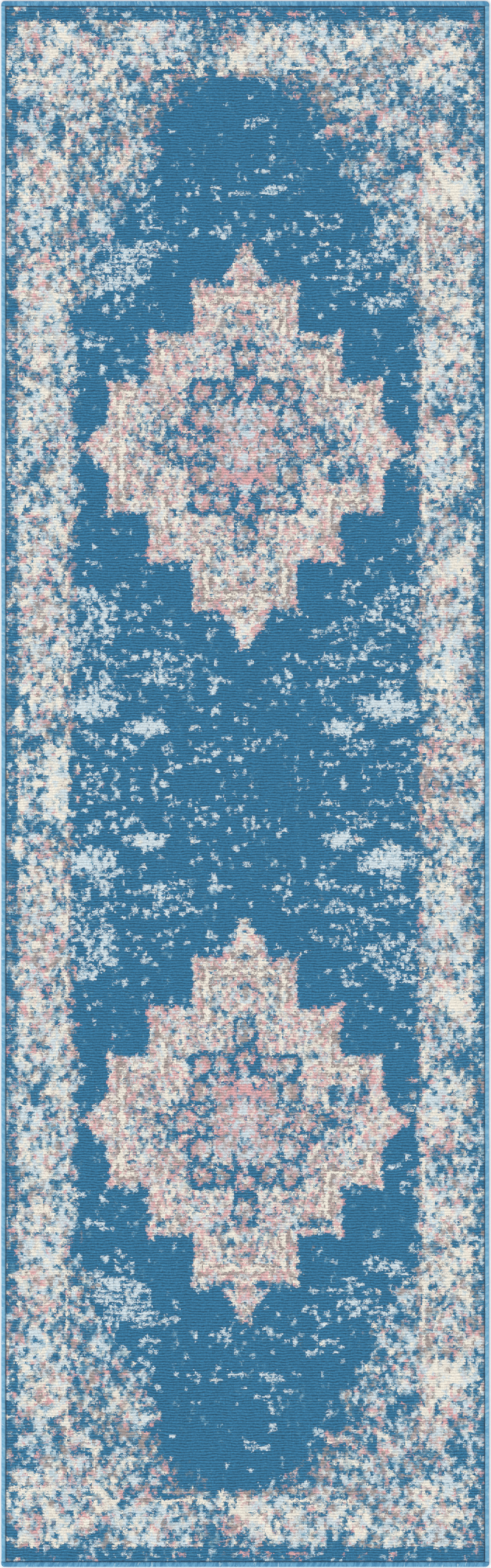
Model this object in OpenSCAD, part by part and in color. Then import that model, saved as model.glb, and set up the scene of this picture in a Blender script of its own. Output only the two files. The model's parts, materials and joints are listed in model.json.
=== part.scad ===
// Low-pile runner rug with serged edges.
// The rug lies flat on z = 0, with its width along X and its length along Y.
// It folds for storage along two lines across the width, one a quarter of the
// length in from each end, so both ends turn in over the middle, pile to pile.

/* [Rug] */
// Width over the bound edges
rug_w = 688; // [450:1:1200]
// Length over the bound ends
rug_l = 2210; // [1200:1:4000]
// Radius of the corners in plan
corner_r = 5; // [3:0.5:6]

/* [Layers] */
// Thickness of the latex coat under the weave
backing_t = 0.8; // [0.6:0.1:1.5]
// Thickness of the woven ground cloth
ground_t = 1.6; // [1:0.1:2]
// Height of the pile above the ground cloth
pile_t = 4.6; // [4:0.1:12]
// Height of the pile where the needle thread presses it down
pressed_t = 2.6; // [1:0.1:3]

/* [Serged edges] */
// Width of the serging along the two long sides
side_serge_w = 6.5; // [6:0.1:8]
// Width of the serging across the two ends
end_serge_w = 8; // [6.5:0.1:10]
// Height of the serging
serge_t = 6.4; // [6:0.1:7]
// Thickness of the yarn wrap outside its filler cord
wrap_t = 1; // [0.8:0.1:1.2]
// Diameter of the filler cord inside the serging
cord_d = 3.6; // [2.8:0.1:3.8]
// Diameter of the needle thread beside the serging
thread_d = 0.9; // [0.5:0.1:1]

/* [Fold] */
// Height of each fold's axis above the pile
fold_rise = 1.5; // [1:0.5:8]
// Gap between the two sides of a fold line
fold_gap = 0.4; // [0.3:0.1:1]
// Gap left between the two ends when both lie folded in
ends_gap = 6; // [2:1:40]

/* [Hidden] */
$fn = 48;
SIDES = ["left", "right"];
PARTS = ["middle", "near", "far"];

// Colours of the yarns, as they are seen from a little way off
pile_color = "#7E9FB6";
ground_color = "#B9AE98";
backing_color = "#CFC7B4";
serging_color = "#7BAAC8";
cord_color = "#D8D2C4";
thread_color = "#2B6485";

// Heights of the layers' top faces
ground_top = backing_t + ground_t;
pile_top = ground_top + pile_t;

// Place of the filler cord, measured inward from the outer edge and up from the floor
cord_r = cord_d / 2;
cord_in = wrap_t + cord_r;
cord_z = serge_t / 2;

// The ground cloth reaches in under the serging as far as the filler cord
ground_in = cord_in + cord_r;
// The needle thread presses a groove into the pile, beside the serging
groove_w = thread_d + 0.2;
lip_r = 0.6;
cord_end_in = corner_r + 1;

// Distance of a fold line from mid-length
fold_y = (rug_l + ends_gap) / 4;

// Start and end of one part of the rug along Y, for layers that stop short of each end by end_in
function run(part, end_in) =
    part == "middle" ? [-fold_y + fold_gap / 2, fold_y - fold_gap / 2] :
    part == "near" ? [-rug_l / 2 + end_in, -fold_y - fold_gap / 2] :
    [fold_y + fold_gap / 2, rug_l / 2 - end_in];

// A flat layer of one part, inset from the long sides and from the end
module layer(part, side_in, end_in, z, t) {
    y = run(part, end_in);
    translate([-rug_w / 2 + side_in, y[0], z])
        cube([rug_w - 2 * side_in, y[1] - y[0], t]);
}

// Lays a section along Y on the left side, x inward and y up; the right side is its mirror image
module along_side(side, part, end_in) {
    y = run(part, end_in);
    mirror([side == "right" ? 1 : 0, 0, 0])
        translate([-rug_w / 2, y[1], 0])
            rotate([90, 0, 0]) linear_extrude(y[1] - y[0]) children();
}

// Lays a section along X at one end, x inward and y up, short_by in from both long sides
module along_end(part, short_by = 0) {
    mirror([0, part == "far" ? 1 : 0, 0])
        translate([-rug_w / 2 + short_by, -rug_l / 2, 0])
            rotate([90, 0, 90]) linear_extrude(rug_w - 2 * short_by) children();
}

// Outline of the wrapped yarn: round outside, nearly square where it meets the pile
module wrap_outline(w) {
    translate([serge_t / 2, serge_t / 2]) circle(d = serge_t);
    translate([serge_t / 2, 0]) square([w - serge_t / 2 - lip_r, serge_t]);
    translate([w - 2 * lip_r, lip_r]) square([2 * lip_r, serge_t - 2 * lip_r]);
    for (z = [lip_r, serge_t - lip_r])
        translate([w - lip_r, z]) circle(r = lip_r);
}

// The wrap closes round the filler cord and grips the ground cloth's edge in a slot
module serging_section(w) {
    difference() {
        wrap_outline(w);
        translate([cord_in, cord_z]) circle(d = cord_d);
        translate([cord_in, backing_t]) square([w, ground_t]);
    }
}

// The filler cord's round section in its place
module cord_section() {
    translate([cord_in, cord_z]) circle(d = cord_d);
}

// The needle thread's round section, lying on the pressed pile in its groove
module thread_section(w) {
    translate([w + groove_w / 2, ground_top + pressed_t + thread_d / 2]) circle(d = thread_d);
}

// The rug's outline in plan, with rounded corners
module plan_block() {
    translate([-rug_w / 2 + corner_r, -rug_l / 2, 0])
        cube([rug_w - 2 * corner_r, rug_l, serge_t]);
    translate([-rug_w / 2, -rug_l / 2 + corner_r, 0])
        cube([rug_w, rug_l - 2 * corner_r, serge_t]);
    for (x = [-1, 1], y = [-1, 1])
        translate([x * (rug_w / 2 - corner_r), y * (rug_l / 2 - corner_r), 0])
            cylinder(r = corner_r, h = serge_t);
}

// Cut pile, standing on the ground cloth and pressed down beside the serging
module pile(part) {
    color(pile_color) {
        layer(part, side_serge_w, end_serge_w, ground_top, pressed_t);
        layer(part, side_serge_w + groove_w, end_serge_w + groove_w, ground_top, pile_t);
    }
}

// Woven cloth of warps and wefts that holds the pile
module ground(part) {
    color(ground_color) layer(part, ground_in, ground_in, backing_t, ground_t);
}

// Latex coat that locks the tufts from below
module backing(part) {
    color(backing_color) layer(part, side_serge_w, end_serge_w, 0, backing_t);
}

// Serging along a long side
module side_serging(side, part) {
    color(serging_color) along_side(side, part, end_serge_w) serging_section(side_serge_w);
}

// Filler cord inside a long side's serging
module side_cord(side, part) {
    color(cord_color) along_side(side, part, end_serge_w) cord_section();
}

// Needle thread beside a long side's serging
module side_thread(side, part) {
    color(thread_color) along_side(side, part, end_serge_w + groove_w) thread_section(side_serge_w);
}

// Serging across an end, closed over the filler cord at both corners
module end_serging(part) {
    color(serging_color) intersection() {
        difference() {
            along_end(part) wrap_outline(end_serge_w);
            along_end(part, cord_end_in) cord_section();
            along_end(part, ground_in)
                translate([cord_in, backing_t]) square([end_serge_w, ground_t]);
        }
        plan_block();
    }
}

// Filler cord inside an end's serging
module end_cord(part) {
    color(cord_color) along_end(part, cord_end_in) cord_section();
}

// Needle thread beside an end's serging
module end_thread(part) {
    color(thread_color) along_end(part, side_serge_w + groove_w) thread_section(end_serge_w);
}

for (part = PARTS) {
    pile(part);
    ground(part);
    backing(part);
    for (side = SIDES) {
        side_serging(side, part);
        side_cord(side, part);
        side_thread(side, part);
    }
}
for (part = ["near", "far"]) {
    end_serging(part);
    end_cord(part);
    end_thread(part);
}
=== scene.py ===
"""A low-pile runner rug with serged edges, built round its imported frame.

The rug lies on z = 0 with its width along X and its length along Y. Its cloth is made in four stretches
along the length, which meet at mid-length and at the two fold lines. Lengths are in millimetres until a
mesh is built, and in metres from there on.
"""
import json
import logging
import math
from dataclasses import dataclass, field
from enum import Enum
from typing import Any, Iterable, Optional, Union

import bpy
import numpy as np
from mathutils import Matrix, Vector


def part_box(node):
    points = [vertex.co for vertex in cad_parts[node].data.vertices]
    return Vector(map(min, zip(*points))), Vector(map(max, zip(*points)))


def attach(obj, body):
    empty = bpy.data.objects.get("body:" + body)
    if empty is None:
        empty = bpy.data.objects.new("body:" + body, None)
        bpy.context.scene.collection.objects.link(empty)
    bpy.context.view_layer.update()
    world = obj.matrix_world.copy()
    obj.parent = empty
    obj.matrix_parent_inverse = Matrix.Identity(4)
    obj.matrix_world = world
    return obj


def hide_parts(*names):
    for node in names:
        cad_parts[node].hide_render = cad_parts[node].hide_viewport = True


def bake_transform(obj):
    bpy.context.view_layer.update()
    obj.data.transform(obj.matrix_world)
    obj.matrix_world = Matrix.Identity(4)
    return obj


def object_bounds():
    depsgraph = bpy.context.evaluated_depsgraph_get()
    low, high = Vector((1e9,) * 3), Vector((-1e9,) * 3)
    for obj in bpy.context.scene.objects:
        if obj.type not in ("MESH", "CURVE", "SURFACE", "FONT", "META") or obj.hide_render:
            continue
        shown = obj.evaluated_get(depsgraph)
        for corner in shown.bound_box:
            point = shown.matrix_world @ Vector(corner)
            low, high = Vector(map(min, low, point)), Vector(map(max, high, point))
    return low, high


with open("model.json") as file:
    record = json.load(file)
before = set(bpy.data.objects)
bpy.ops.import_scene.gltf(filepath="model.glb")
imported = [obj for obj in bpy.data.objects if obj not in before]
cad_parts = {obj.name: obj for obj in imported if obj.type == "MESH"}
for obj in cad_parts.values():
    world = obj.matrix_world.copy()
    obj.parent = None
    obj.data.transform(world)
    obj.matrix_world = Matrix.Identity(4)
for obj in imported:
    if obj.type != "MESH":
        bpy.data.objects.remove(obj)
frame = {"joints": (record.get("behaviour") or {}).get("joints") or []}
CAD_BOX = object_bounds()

log = logging.getLogger("runner_rug")
MM = 0.001
Number = Union[int, float]
Rgb = tuple[float, float, float]
Pair = tuple[float, float]


def linear(color: Iterable[float]) -> np.ndarray:
    """Turns display colours into linear ones.

    Args:
        color: Display values from 0 to 1, in an array or tuple of any shape.

    Returns:
        The linear values, in the same shape.
    """
    shown = np.asarray(color, float)
    return np.where(shown <= 0.04045, shown / 12.92, ((shown + 0.055) / 1.055) ** 2.4)


def rgba(color: Rgb) -> tuple[float, ...]:
    """Gives a display colour as four linear values."""
    return (*linear(color).tolist(), 1.0)


# ---------------------------------------------------------------------------------------------------------
# Sizes and places
# ---------------------------------------------------------------------------------------------------------


@dataclass(frozen=True)
class Layout:
    """The rug's sizes in millimetres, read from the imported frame, with the pitch of its weave."""

    half_w: float
    half_l: float
    pile_half_w: float
    pile_half_l: float
    edge_in: float
    edge_end: float
    ground_half_w: float
    ground_half_l: float
    pile_top: float
    groove_bottom: float
    serging_top: float
    ground_top: float
    backing_top: float
    fold_y: float
    corner: float = 5.0
    ribs_per_half: int = 277
    tufts_across: int = 340
    fold_run: float = 14.0
    end_serging: float = 8.0

    @classmethod
    def from_frame(cls) -> "Layout":
        """Reads the boxes of the CAD nodes and the far fold's axis.

        Returns:
            The sizes.
        """
        pile, ground, backing = (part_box(f"{layer}_far")[1] / MM for layer in ("pile", "ground", "backing"))
        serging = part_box("serging_right_far")[1] / MM
        side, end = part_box("thread_right_far"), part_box("thread_end_far")
        far = next(joint for joint in frame["joints"] if joint["name"] == "far_fold")
        return cls(
            half_w=CAD_BOX[1].x / MM,
            half_l=CAD_BOX[1].y / MM,
            pile_half_w=side[0].x / MM - 0.1,
            pile_half_l=end[0].y / MM - 0.1,
            edge_in=pile.x,
            edge_end=pile.y,
            ground_half_w=ground.x,
            ground_half_l=ground.y,
            pile_top=pile.z,
            groove_bottom=side[0].z / MM,
            serging_top=serging.z,
            ground_top=ground.z,
            backing_top=backing.z,
            fold_y=far["pos_m"][1] / MM,
        )

    @property
    def rib(self) -> float:
        """Pitch of the pile's ribs along the length."""
        return self.pile_half_l / self.ribs_per_half

    @property
    def tuft(self) -> float:
        """Pitch of the tufts along a rib."""
        return 2 * self.pile_half_w / self.tufts_across

    @property
    def fold_rib(self) -> int:
        """Number of ribs from mid-length to the fold line."""
        return round(self.fold_y / self.rib)


@dataclass(frozen=True)
class Stretch:
    """One of the four lengths of cloth, counted in ribs from mid-length, positive towards the far end."""

    name: str
    part: str
    body: str
    side: int
    first: int
    last: int
    reaches_end: bool

    @classmethod
    def all(cls, layout: Layout) -> list["Stretch"]:
        """Lists the stretches from the near end to the far end.

        Args:
            layout: The rug's sizes.

        Returns:
            The four stretches.
        """
        fold, end = layout.fold_rib, layout.ribs_per_half
        return [
            cls("near", "near", "near_end", -1, -end, -fold, True),
            cls("mid_near", "middle", "near_end", -1, -fold, 0, False),
            cls("mid_far", "middle", "far_end", 1, 0, fold, False),
            cls("far", "far", "far_end", 1, fold, end, True),
        ]

    def span(self, layout: Layout, end: float) -> tuple[float, float]:
        """Gives the stretch's start and end along Y.

        Args:
            layout: The rug's sizes.
            end: Where a piece that reaches the rug's end stops, as a distance from mid-length.

        Returns:
            The two places in millimetres.
        """
        low, high = self.first * layout.rib, self.last * layout.rib
        if self.reaches_end and self.side < 0:
            low = -end
        if self.reaches_end and self.side > 0:
            high = end
        return low, high

    def hang(self, piece: bpy.types.Object, layout: Layout, node: str) -> bpy.types.Object:
        """Bakes a piece's placement into its mesh, and hides the CAD node that it replaces.

        Args:
            piece: The finished piece.
            layout: The rug's sizes; not used.
            node: Name of the CAD node that the piece stands for.

        Returns:
            The same piece.
        """
        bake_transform(piece)
        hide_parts(node)
        return piece


# ---------------------------------------------------------------------------------------------------------
# The loom's cartoon: which yarn each tuft is cut from
# ---------------------------------------------------------------------------------------------------------


class Smooth:
    """Makes smooth random fields of one shape, each with a spread of 1."""

    def __init__(self, random: np.random.Generator, shape: tuple[int, int]) -> None:
        """Keeps the source of random numbers and the shape."""
        self.random = random
        self.shape = shape

    def __call__(self, cell: tuple[float, float]) -> np.ndarray:
        """Makes one field, with blotches of cell rows and columns.

        Args:
            cell: Size of a blotch, in rows and columns.

        Returns:
            One value a place.
        """
        knots = self.random.standard_normal([int(n / c) + 3 for n, c in zip(self.shape, cell)])
        row, column = (np.arange(n) / c for n, c in zip(self.shape, cell))
        i, j = row.astype(int), column.astype(int)
        down, right = (t * t * (3 - 2 * t) for t in (row - i, column - j))
        upper = knots[i][:, j] * (1 - right) + knots[i][:, j + 1] * right
        lower = knots[i + 1][:, j] * (1 - right) + knots[i + 1][:, j + 1] * right
        made = upper * (1 - down[:, None]) + lower * down[:, None]
        return made / made.std()


class Yarn(Enum):
    """The five pile yarns, as display colours."""

    BLUE = (0.148, 0.452, 0.612)
    PALE = (0.800, 0.855, 0.880)
    CREAM = (0.915, 0.893, 0.842)
    PINK = (0.870, 0.660, 0.670)
    TAUPE = (0.640, 0.590, 0.575)


class Tone(Enum):
    """Mixtures of yarns, as shares of blue, pale blue, cream, pink and taupe."""

    FIELD = (0.975, 0.022, 0.001, 0.001, 0.001)
    FLECK = (0.04, 0.92, 0.03, 0.005, 0.005)
    BORDER = (0.26, 0.25, 0.27, 0.09, 0.13)
    BORDER_CREAM = (0.15, 0.26, 0.40, 0.08, 0.11)
    BORDER_PALE = (0.18, 0.42, 0.26, 0.06, 0.08)
    BORDER_BLUE = (0.55, 0.20, 0.10, 0.05, 0.10)
    BORDER_ROSE = (0.22, 0.20, 0.20, 0.20, 0.18)
    GUARD = (0.58, 0.13, 0.09, 0.08, 0.12)
    END_GUARD = (0.86, 0.07, 0.02, 0.03, 0.02)
    GUARD_LINE = (0.20, 0.20, 0.45, 0.05, 0.10)
    INNER_LINE = (0.30, 0.12, 0.13, 0.20, 0.25)
    SPANDREL = (0.46, 0.22, 0.12, 0.08, 0.12)
    FADE = (0.50, 0.06, 0.05, 0.20, 0.19)
    THIN_FADE = (0.80, 0.03, 0.02, 0.08, 0.08)
    RIM = (0.08, 0.17, 0.27, 0.28, 0.20)
    PINK_LINE = (0.02, 0.03, 0.08, 0.80, 0.07)
    TAUPE_LINE = (0.01, 0.01, 0.04, 0.07, 0.87)
    CREAM_LINE = (0.03, 0.07, 0.82, 0.04, 0.04)
    PANEL = (0.17, 0.16, 0.31, 0.20, 0.16)
    RING = (0.60, 0.14, 0.06, 0.10, 0.10)
    HEART = (0.10, 0.35, 0.05, 0.28, 0.22)
    PETAL = (0.08, 0.10, 0.06, 0.46, 0.30)
    EYE = (0.10, 0.20, 0.12, 0.20, 0.38)
    DARK = (0.84, 0.06, 0.03, 0.04, 0.03)


@dataclass(frozen=True)
class Patch:
    """An oval or oblong place in the pattern: its middle, half its size, and what fills it."""

    x: float
    y: float
    half_w: float
    half_h: float
    tone: Tone = Tone.FLECK
    share: float = 1.0

    def reach(self, x: np.ndarray, y: np.ndarray) -> tuple[np.ndarray, np.ndarray]:
        """Gives how far places are from its middle, across and along, in halves of its size."""
        return np.abs(x - self.x) / self.half_w, np.abs(y - self.y) / self.half_h


@dataclass
class Cartoon:
    """Paints mixtures of yarns over the far half of the rug, and mirrors them to the near half."""

    layout: Layout
    seed: int = 11
    sharpness: float = 3.0
    scatter: float = 1.25
    calm: float = 0.95
    symmetry: float = 0.72
    field_half_w: float = 249.0
    field_half_l: float = 1006.0
    guard_in: float = 321.5
    guard_end: float = 1077.0
    medallion_y: float = 475.0
    fleck_pitch: tuple[float, float] = (7.6, 7.9)
    stray_flecks: float = 0.012
    random: np.random.Generator = field(init=False)
    weights: np.ndarray = field(init=False)
    x: np.ndarray = field(init=False)
    y: np.ndarray = field(init=False)
    inside: np.ndarray = field(init=False)

    def __post_init__(self) -> None:
        """Lays out the tufts of the far half, with the rows going out from mid-length."""
        self.random = np.random.default_rng(self.seed)
        across = (np.arange(self.layout.tufts_across) + 0.5) * self.layout.tuft - self.layout.pile_half_w
        along = (np.arange(self.layout.ribs_per_half) + 0.5) * self.layout.rib
        self.x, self.y = np.meshgrid(across, along)
        self.weights = np.repeat(np.array(Tone.FIELD.value)[:, None], self.x.size, axis=1)
        self.weights = self.weights.reshape(len(Yarn), *self.x.shape)
        self.inside = np.zeros(self.x.shape, bool)

    def cloud(self, cell: tuple[float, float], shape: Optional[tuple[int, int]] = None) -> np.ndarray:
        """Makes smooth random blotches with a spread of 1.

        Args:
            cell: Size of a blotch, in ribs and tufts.
            shape: Rows and columns of the result, those of the far half if left out.

        Returns:
            One value a tuft.
        """
        return Smooth(self.random, shape or self.x.shape)(cell)

    def blotches(self, medium: float, large: float, grain: float = 1.0) -> np.ndarray:
        """Adds clouds of three sizes, with a spread of 1; medium and large weigh against the finest.

        Args:
            medium: Weight of the middle size against the finest.
            large: Weight of the largest size against the finest.
            grain: Size of the finest, 1 for a blotch of 1.25 ribs.

        Returns:
            One value a tuft.
        """
        made = self.cloud((1.25 * grain, 2.2 * grain))
        made = made + medium * self.cloud((3.6, 7.0)) + large * self.cloud((11.0, 22.0))
        return made / math.sqrt(1 + medium**2 + large**2)

    def paint(self, mask: np.ndarray, tone: Tone) -> None:
        """Lays a mixture over the place where mask is 1, and partly where it is between 0 and 1."""
        cover = np.clip(np.asarray(mask, float), 0, 1)
        self.weights = self.weights * (1 - cover) + np.array(tone.value)[:, None, None] * cover

    def weave(self) -> np.ndarray:
        """Paints the whole pattern and picks the yarns.

        Returns:
            Display colours with near rows first: ribs, tufts, three values.
        """
        self._spandrels()
        self._border()
        self._guards()
        self._medallion()
        self._flecks()
        return self._pick()

    def _spandrels(self) -> None:
        """Fills the corners outside the stepped arch at the end of the field, and fades the arch's top.

        The arch is a list of steps: a distance from mid-length, and the field's half width from there on.
        """
        across = np.abs(self.x)
        along = self.y + 2.0 * self.cloud((3, 5))
        limit = np.full_like(across, self.field_half_w - 4)
        arch = [(667, 230), (707, 206), (762, 176), (818, 150), (856, 133),
                (950, 114), (968, 98), (984, 80), (999, 0)]
        for low, half in arch:
            limit = np.where(along > low, half, limit)
        edge = across + 9.0 * self.cloud((2.5, 6)) - limit
        self.paint((edge > 0) & (across < self.field_half_w), Tone.SPANDREL)
        self.paint((edge > -14) & (edge < 12) & (along > 900), Tone.FADE)
        self.paint((edge > -42) & (edge <= -14) & (along > 938), Tone.THIN_FADE)

    def _border(self) -> None:
        """Fills the main border with its patches and flowers, and draws the lines inside it."""
        across = np.abs(self.x)
        wide = across + 2.0 * self.cloud((3, 5)) > self.field_half_w
        main = wide | (self.y + 2.0 * self.cloud((3, 5)) > self.field_half_l)
        self.paint(main, Tone.BORDER)
        self.paint((self.y > self.field_half_l) * 0.40, Tone.BORDER_BLUE)
        for patch in self._border_patches():
            reach = np.maximum(*patch.reach(self.x, self.y))
            cover = np.clip((1.15 + 0.22 * self.cloud((4, 7)) - reach) * 3, 0, 1)
            self.paint(main * cover * 0.85, patch.tone)
        for x, y in self._border_flowers():
            self._flower(x, y, 21.0, main)
        fade = self.cloud((9, 16))
        lines = ((across, 247.5, 2.2, self.y, 1003, -0.4, Tone.INNER_LINE),
                 (across, 251.5, 2.0, self.y, 1003, 0.5, Tone.CREAM_LINE),
                 (self.y, 1012, 2.0, across, 190, 0.1, Tone.CREAM_LINE),
                 (self.y, 1005, 3.0, across, 150, 0.5, Tone.DARK),
                 (self.y, 998, 2.6, across, 200, -math.inf, Tone.INNER_LINE))
        for place, middle, half, run, until, least, tone in lines:
            self.paint((np.abs(place - middle) < half) & (run < until) & (fade > least), tone)

    def _border_patches(self) -> list[Patch]:
        """Lists the places where the border is mostly cream, pale blue, blue or rose.

        Returns:
            The patches of both sides and of the end.
        """
        cream, pale, blue, rose = Tone.BORDER_CREAM, Tone.BORDER_PALE, Tone.BORDER_BLUE, Tone.BORDER_ROSE
        left = [(1040, 45, 30, cream), (985, 60, 16, cream), (930, 34, 36, blue), (860, 20, 26, cream),
                (800, 34, 26, pale), (745, 30, 22, rose), (700, 26, 18, cream), (655, 24, 40, cream),
                (575, 34, 18, blue), (540, 34, 20, pale), (410, 34, 16, blue), (340, 30, 36, cream),
                (250, 34, 36, rose), (175, 30, 34, cream), (108, 26, 22, cream), (66, 26, 16, blue),
                (0, 32, 40, pale)]
        right = [(1040, 45, 30, cream), (950, 44, 34, blue), (850, 26, 40, cream), (770, 34, 30, rose),
                 (690, 28, 30, cream), (620, 26, 30, cream), (450, 34, 40, pale), (370, 24, 24, blue),
                 (290, 24, 36, cream), (215, 34, 30, pale), (140, 26, 26, cream), (95, 16, 26, cream),
                 (30, 34, 26, rose)]
        end = [Patch(-120, 1045, 50, 26, pale), Patch(-30, 1050, 26, 26, blue),
               Patch(60, 1045, 60, 26, cream), Patch(150, 1055, 30, 22, blue)]
        return [Patch(-283, *row) for row in left] + [Patch(283, *row) for row in right] + end

    @staticmethod
    def _border_flowers() -> list[tuple[float, float]]:
        """Lists the middles of the border's faded flowers."""
        sides = [(side * 284, 875 - 128 * i + 14 * side) for side in (-1, 1) for i in range(7)]
        return sides + [(x, 1043) for x in (-297, -228, -120, -20, 70, 160, 245)]

    def _flower(self, x: float, y: float, radius: float, where: np.ndarray) -> None:
        """Draws a faded flower: a blue outline, cream, a ring of petals and an eye.

        Args:
            x: Its middle across the rug.
            y: Its middle along the rug.
            radius: Half its size.
            where: The tufts that it may cover.
        """
        right, up = self.x - x, self.y - y
        petals = 1 + 0.12 * np.cos(6 * np.arctan2(up, right))
        reach = np.hypot(right, up) / radius * petals + 0.10 * self.cloud((2, 4))
        self.paint(where * ((reach > 0.82) & (reach < 1.05)) * 0.7, Tone.BORDER_BLUE)
        self.paint(where * (reach < 0.82) * 0.7, Tone.BORDER_CREAM)
        self.paint(where * ((reach < 0.62) & (reach > 0.40)) * 0.6, Tone.PETAL)
        self.paint(where * (reach < 0.25) * 0.8, Tone.EYE)

    def _guards(self) -> None:
        """Draws the narrow outer stripes beside the serging."""
        across = np.abs(self.x)
        fade = self.cloud((9, 16))
        self.paint(self.x < -self.guard_in, Tone.GUARD)
        self.paint(self.x > self.guard_in, Tone.BORDER_BLUE)
        self.paint((np.abs(across - 319.5) < 1.3) & (self.y < 1076) & (fade > 0.0), Tone.GUARD_LINE)
        self.paint(self.y > self.guard_end, Tone.END_GUARD)
        dashes = (self.cloud((3, 6)) > 0.3) & (self.x + 400 * fade > 0)
        self.paint((np.abs(self.y - 1086) < 2.5) & dashes, Tone.PINK_LINE)

    def _medallion(self) -> None:
        """Draws the stepped diamond: its outline, panels, ring of flowers and pointed centre."""
        across = np.abs(self.x + 1.2 * self.cloud((2, 4)))
        up = self.y - self.medallion_y + 1.4 * self.cloud((2, 4))
        along = np.abs(up)

        def block(half_w: float, half_h: float) -> np.ndarray:
            """Distance outside one oblong of the stepped outline."""
            return np.maximum(across - half_w, along - half_h)

        steps = np.minimum.reduce([block(193, 92), block(135.5, 160), block(73.5, 228)])
        cap = np.maximum.reduce([across + 0.65 * (along - 228) - 38, along - 270, 222 - along])
        arm = np.maximum(across + 0.80 * along - 226, along - 39)
        knobs = np.maximum(across - 9.5, along - 285), np.maximum(across - 233, along - 6)
        outline = np.minimum.reduce([steps, cap, arm, *knobs])
        self.inside = outline < 0
        self.paint(outline + 1.5 * self.cloud((1.5, 3)) < 0, Tone.RIM)
        worn = self.cloud((14, 24)) > -0.9
        for outer, inner, tone in ((-11.0, -15.5, Tone.TAUPE_LINE), (-15.5, -22.5, Tone.CREAM_LINE),
                                   (-22.5, -26.5, Tone.TAUPE_LINE)):
            self.paint(((steps < outer) & (steps > inner) & worn) * 0.96, tone)
        self.paint(steps <= -26.5, Tone.PANEL)
        self.paint((np.abs(up - 144) < 7) & (np.abs(across - 74) < 52) & worn, Tone.RING)
        self.paint((np.abs(up + 36) < 15) & (np.abs(self.x - 158) < 42) & worn, Tone.RING)
        self._ring(across, along)
        self._centre(across, along)
        for x, y in ((71, 229), (133, 161), (191, 93)):
            self.paint(np.hypot(across - x, along - y) < 4.5, Tone.RIM)
        self.paint((np.abs(up - 231) < 5) & (np.abs(across - 40) < 26), Tone.RING)
        chevron = np.abs(across - (up + 262) * 0.55)
        self.paint((up < -222) & (up > -266) & (chevron < 4) & (outline < 0), Tone.CREAM_LINE)
        leaf = across / 16 + np.abs(up + 232) / 12
        self.paint((leaf < 1.3) & (leaf > 0.9), Tone.TAUPE_LINE)
        self.paint(leaf < 0.6, Tone.RING)

    def _ring(self, across: np.ndarray, along: np.ndarray) -> None:
        """Draws the medallion's ring of flowers, each with a blue edge, and the lobes outside it.

        Args:
            across: Each tuft's distance from the medallion's long axis.
            along: Each tuft's distance from its short axis.
        """
        top = np.hypot(across / 19, (along - 126) / 26) + 0.10 * self.cloud((2, 4))
        arm = np.abs(across - 98) / 30 + along / 33 + 0.10 * self.cloud((2, 4))
        for lobe in (top, arm):
            self.paint(lobe < 1, Tone.DARK)
            self.paint(lobe < 0.62, Tone.EYE)
            self.paint(lobe < 0.30, Tone.PETAL)
        flowers = ((62, 78, 12.5), (33, 78, 11.5), (62, 40, 13.5), (85, 0, 14.5), (0, 86, 13.5))
        reaches = [np.hypot(across - x, along - y) + 1.6 * self.cloud((1.5, 3)) for x, y, _ in flowers]
        ring = np.minimum.reduce([reach - radius for reach, (_, _, radius) in zip(reaches, flowers)])
        self.paint(ring < 7.5, Tone.DARK)
        for reach, (x, _, radius) in zip(reaches, flowers):
            self.paint(reach < radius, Tone.PETAL)
            self.paint((reach < radius * 0.5) | ((reach < radius) & (self.x > 0) & (x == 62)), Tone.EYE)

    def _centre(self, across: np.ndarray, along: np.ndarray) -> None:
        """Draws the medallion's pointed centre with its four round corners.

        Args:
            across: Each tuft's distance from the medallion's long axis.
            along: Each tuft's distance from its short axis.
        """
        point = np.minimum(across / 61 + along / 50, across / 42 + along / 73) - 1
        corner = np.hypot(across - 31, along - 37) / 16 - 1
        star = np.minimum(point, corner) + 0.05 * self.cloud((2, 4))
        self.paint(star < 0.16, Tone.DARK)
        self.paint(star < 0, Tone.HEART)
        self.paint((corner + 0.1 * self.cloud((2, 3)) < -0.30) * 0.8, Tone.PETAL)
        reach = np.hypot(across / 24, along / 28) + 0.10 * self.cloud((1.5, 3))
        for size, tone in ((1.0, Tone.PETAL), (0.72, Tone.FLECK), (0.45, Tone.EYE)):
            self.paint((reach < size) * 0.45, tone)

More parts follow.
